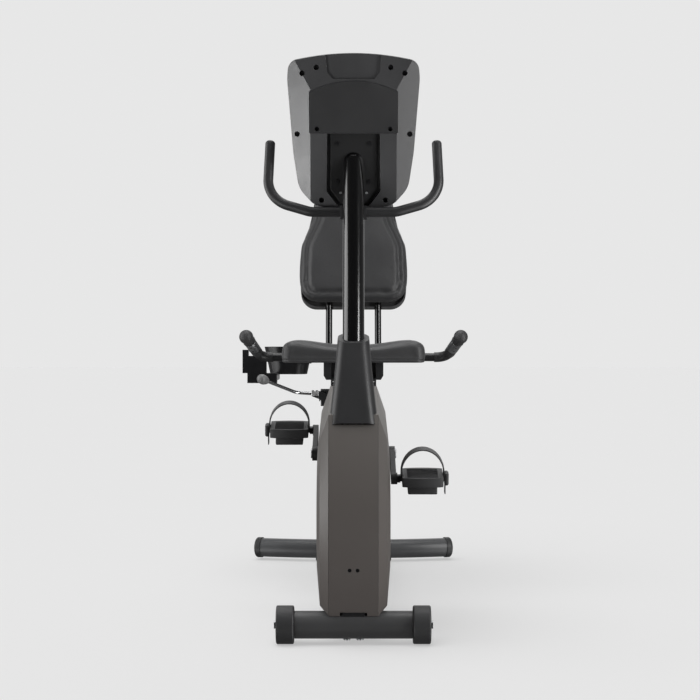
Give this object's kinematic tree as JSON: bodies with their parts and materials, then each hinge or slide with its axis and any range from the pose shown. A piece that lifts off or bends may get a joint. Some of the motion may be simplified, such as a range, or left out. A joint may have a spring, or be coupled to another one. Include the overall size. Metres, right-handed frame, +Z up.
{
  "type": "recumbent exercise bike",
  "caption": "Recumbent belt-drive exercise bike with tilted console, sliding padded seat and back, side grips, strapped pedals and enclosed flywheel.",
  "frame": {"origin": "on the floor under the centre of the bounding box", "axes": "+Z up, +Y towards the rear where the rider sits, +X to the right as seen from the front"},
  "size_m": [0.646, 1.5881, 1.3869],
  "materials": {
    "frame_black": "gloss black powder coat",
    "rail_metal": "satin extrusion",
    "housing_grey": "moulded, warm grey",
    "trim_black": "moulded, black",
    "console_grey": "satin dark grey",
    "screen_glass": "glossy window",
    "board_green": "printed board",
    "vinyl_black": "grained vinyl over foam",
    "pan_board": "plywood seat board",
    "strap_rubber": "matte rubber",
    "wheel_black": "hard plastic wheel",
    "bright_steel": "plated",
    "crank_steel": "black",
    "pulley_black": "reinforced plastic",
    "flywheel_iron": "machined rim",
    "magnet_steel": "plated carrier",
    "knob_grey": "grey grip knob",
    "key_rubber": "soft key"
  },
  "bodies": {
    "frame": {"front_stabilizer": "frame_black", "main_beam": "frame_black", "stabilizer_bolts": "bright_steel", "rear_stabilizer": "frame_black", "rear_end_caps": "trim_black", "mast": "frame_black", "mast_socket": "frame_black", "mast_boot": "trim_black", "housing_front_cover": "housing_grey", "housing_left": "housing_grey", "housing_right": "housing_grey", "drive_bracket": "frame_black", "bearings": "bright_steel", "drive_belt": "strap_rubber", "handlebar": "frame_black", "handlebar_end_caps": "trim_black", "handlebar_clamp": "frame_black", "console_back_cover": "console_grey", "console_access_panel": "console_grey", "mount_plate": "frame_black", "console_bezel": "console_grey", "console_screen": "screen_glass", "circuit_board": "board_green", "cover_screws": "bright_steel", "seat_rail": "rail_metal", "rail_end_caps": "trim_black", "seat_legs": "frame_black"},
    "wheel_left": {"wheel_left": "wheel_black"},
    "wheel_right": {"wheel_right": "wheel_black"},
    "foot_left": {"foot_left": "strap_rubber"},
    "foot_right": {"foot_right": "strap_rubber"},
    "crank": {"crank_axle": "bright_steel", "drive_pulley": "pulley_black", "crank_arm_left": "crank_steel", "crank_arm_right": "crank_steel", "pedal_spindles": "bright_steel"},
    "pedal_left": {"pedal_left": "trim_black", "strap_left": "strap_rubber"},
    "pedal_right": {"pedal_right": "trim_black", "strap_right": "strap_rubber"},
    "flywheel": {"flywheel": "flywheel_iron", "flywheel_pulley": "bright_steel"},
    "magnet_carrier": {"magnet_carrier": "magnet_steel"},
    "seat": {"carriage": "frame_black", "seat_pan": "pan_board", "seat_cushion": "vinyl_black", "back_cushion": "vinyl_black", "back_shell": "trim_black", "seat_posts": "frame_black", "seat_handles": "frame_black", "grips": "strap_rubber", "caddy": "trim_black"},
    "rollers_front": {"rollers_front": "strap_rubber"},
    "rollers_rear": {"rollers_rear": "strap_rubber"},
    "lever": {"seat_lever": "bright_steel", "lever_knob": "knob_grey"},
    "lock_pin": {"lock_pin": "bright_steel"},
    "key_down": {"key_down": "key_rubber"},
    "key_start": {"key_start": "key_rubber"},
    "key_up": {"key_up": "key_rubber"}
  },
  "joints": [
    {"name": "wheel_left_spin", "type": "hinge", "parent": "frame", "child": "wheel_left", "pos_m": [-0.155, -0.7335, 0.0437], "axis": [1, 0, 0], "continuous": true},
    {"name": "wheel_right_spin", "type": "hinge", "parent": "frame", "child": "wheel_right", "pos_m": [0.155, -0.7335, 0.0437], "axis": [1, 0, 0], "continuous": true},
    {"name": "foot_left_screw", "type": "slide", "parent": "frame", "child": "foot_left", "axis": [0, 0, -1], "range_m": [0, 0.008]},
    {"name": "foot_right_screw", "type": "slide", "parent": "frame", "child": "foot_right", "axis": [0, 0, -1], "range_m": [0, 0.008]},
    {"name": "crank_spin", "type": "hinge", "parent": "frame", "child": "crank", "pos_m": [0, -0.3735, 0.409], "axis": [1, 0, 0], "continuous": true},
    {"name": "pedal_left_spin", "type": "hinge", "parent": "crank", "child": "pedal_left", "pos_m": [-0.16, -0.21057, 0.4575], "axis": [1, 0, 0], "continuous": true},
    {"name": "pedal_right_spin", "type": "hinge", "parent": "crank", "child": "pedal_right", "pos_m": [0.16, -0.53643, 0.3605], "axis": [1, 0, 0], "continuous": true},
    {"name": "flywheel_spin", "type": "hinge", "parent": "frame", "child": "flywheel", "pos_m": [0, -0.56, 0.264], "axis": [1, 0, 0], "continuous": true},
    {"name": "magnet_swing", "type": "hinge", "parent": "frame", "child": "magnet_carrier", "pos_m": [0, -0.464, 0.374], "axis": [-1, 0, 0], "range_deg": [0, 8]},
    {"name": "seat_slide", "type": "slide", "parent": "frame", "child": "seat", "axis": [0, 0.9903, 0.1392], "range_m": [-0.15, 0.1]},
    {"name": "rollers_front_spin", "type": "hinge", "parent": "seat", "child": "rollers_front", "pos_m": [0, 0.18397, 0.56435], "axis": [1, 0, 0], "range_deg": [-530, 790]},
    {"name": "rollers_rear_spin", "type": "hinge", "parent": "seat", "child": "rollers_rear", "pos_m": [0, 0.30676, 0.5816], "axis": [1, 0, 0], "range_deg": [-530, 790]},
    {"name": "seat_lever_lift", "type": "hinge", "parent": "seat", "child": "lever", "pos_m": [-0.082, 0.19256, 0.53193], "axis": [0, 0.9903, 0.1392], "range_deg": [0, 20], "stiffness_Nm_per_rad": 0.6, "springref_deg": -17.19},
    {"name": "lock_pin_slide", "type": "slide", "parent": "seat", "child": "lock_pin", "axis": [-1, 0, 0], "range_m": [0, 0.004]},
    {"name": "key_down_press", "type": "slide", "parent": "frame", "child": "key_down", "axis": [0, -0.9781, -0.2079], "range_m": [0, 0.0015], "stiffness_N_per_m": 300, "springref_m": -0.001},
    {"name": "key_start_press", "type": "slide", "parent": "frame", "child": "key_start", "axis": [0, -0.9781, -0.2079], "range_m": [0, 0.0015], "stiffness_N_per_m": 300, "springref_m": -0.001},
    {"name": "key_up_press", "type": "slide", "parent": "frame", "child": "key_up", "axis": [0, -0.9781, -0.2079], "range_m": [0, 0.0015], "stiffness_N_per_m": 300, "springref_m": -0.001}
  ],
  "couplings": [
    {"joint": "flywheel_spin", "follows": "crank_spin", "ratio": 4.2143},
    {"joint": "rollers_front_spin", "follows": "seat_slide", "rad_per_m": -90.909},
    {"joint": "rollers_rear_spin", "follows": "seat_slide", "rad_per_m": -90.909},
    {"joint": "lock_pin_slide", "follows": "seat_lever_lift", "m_per_rad": 0.008}
  ]
}
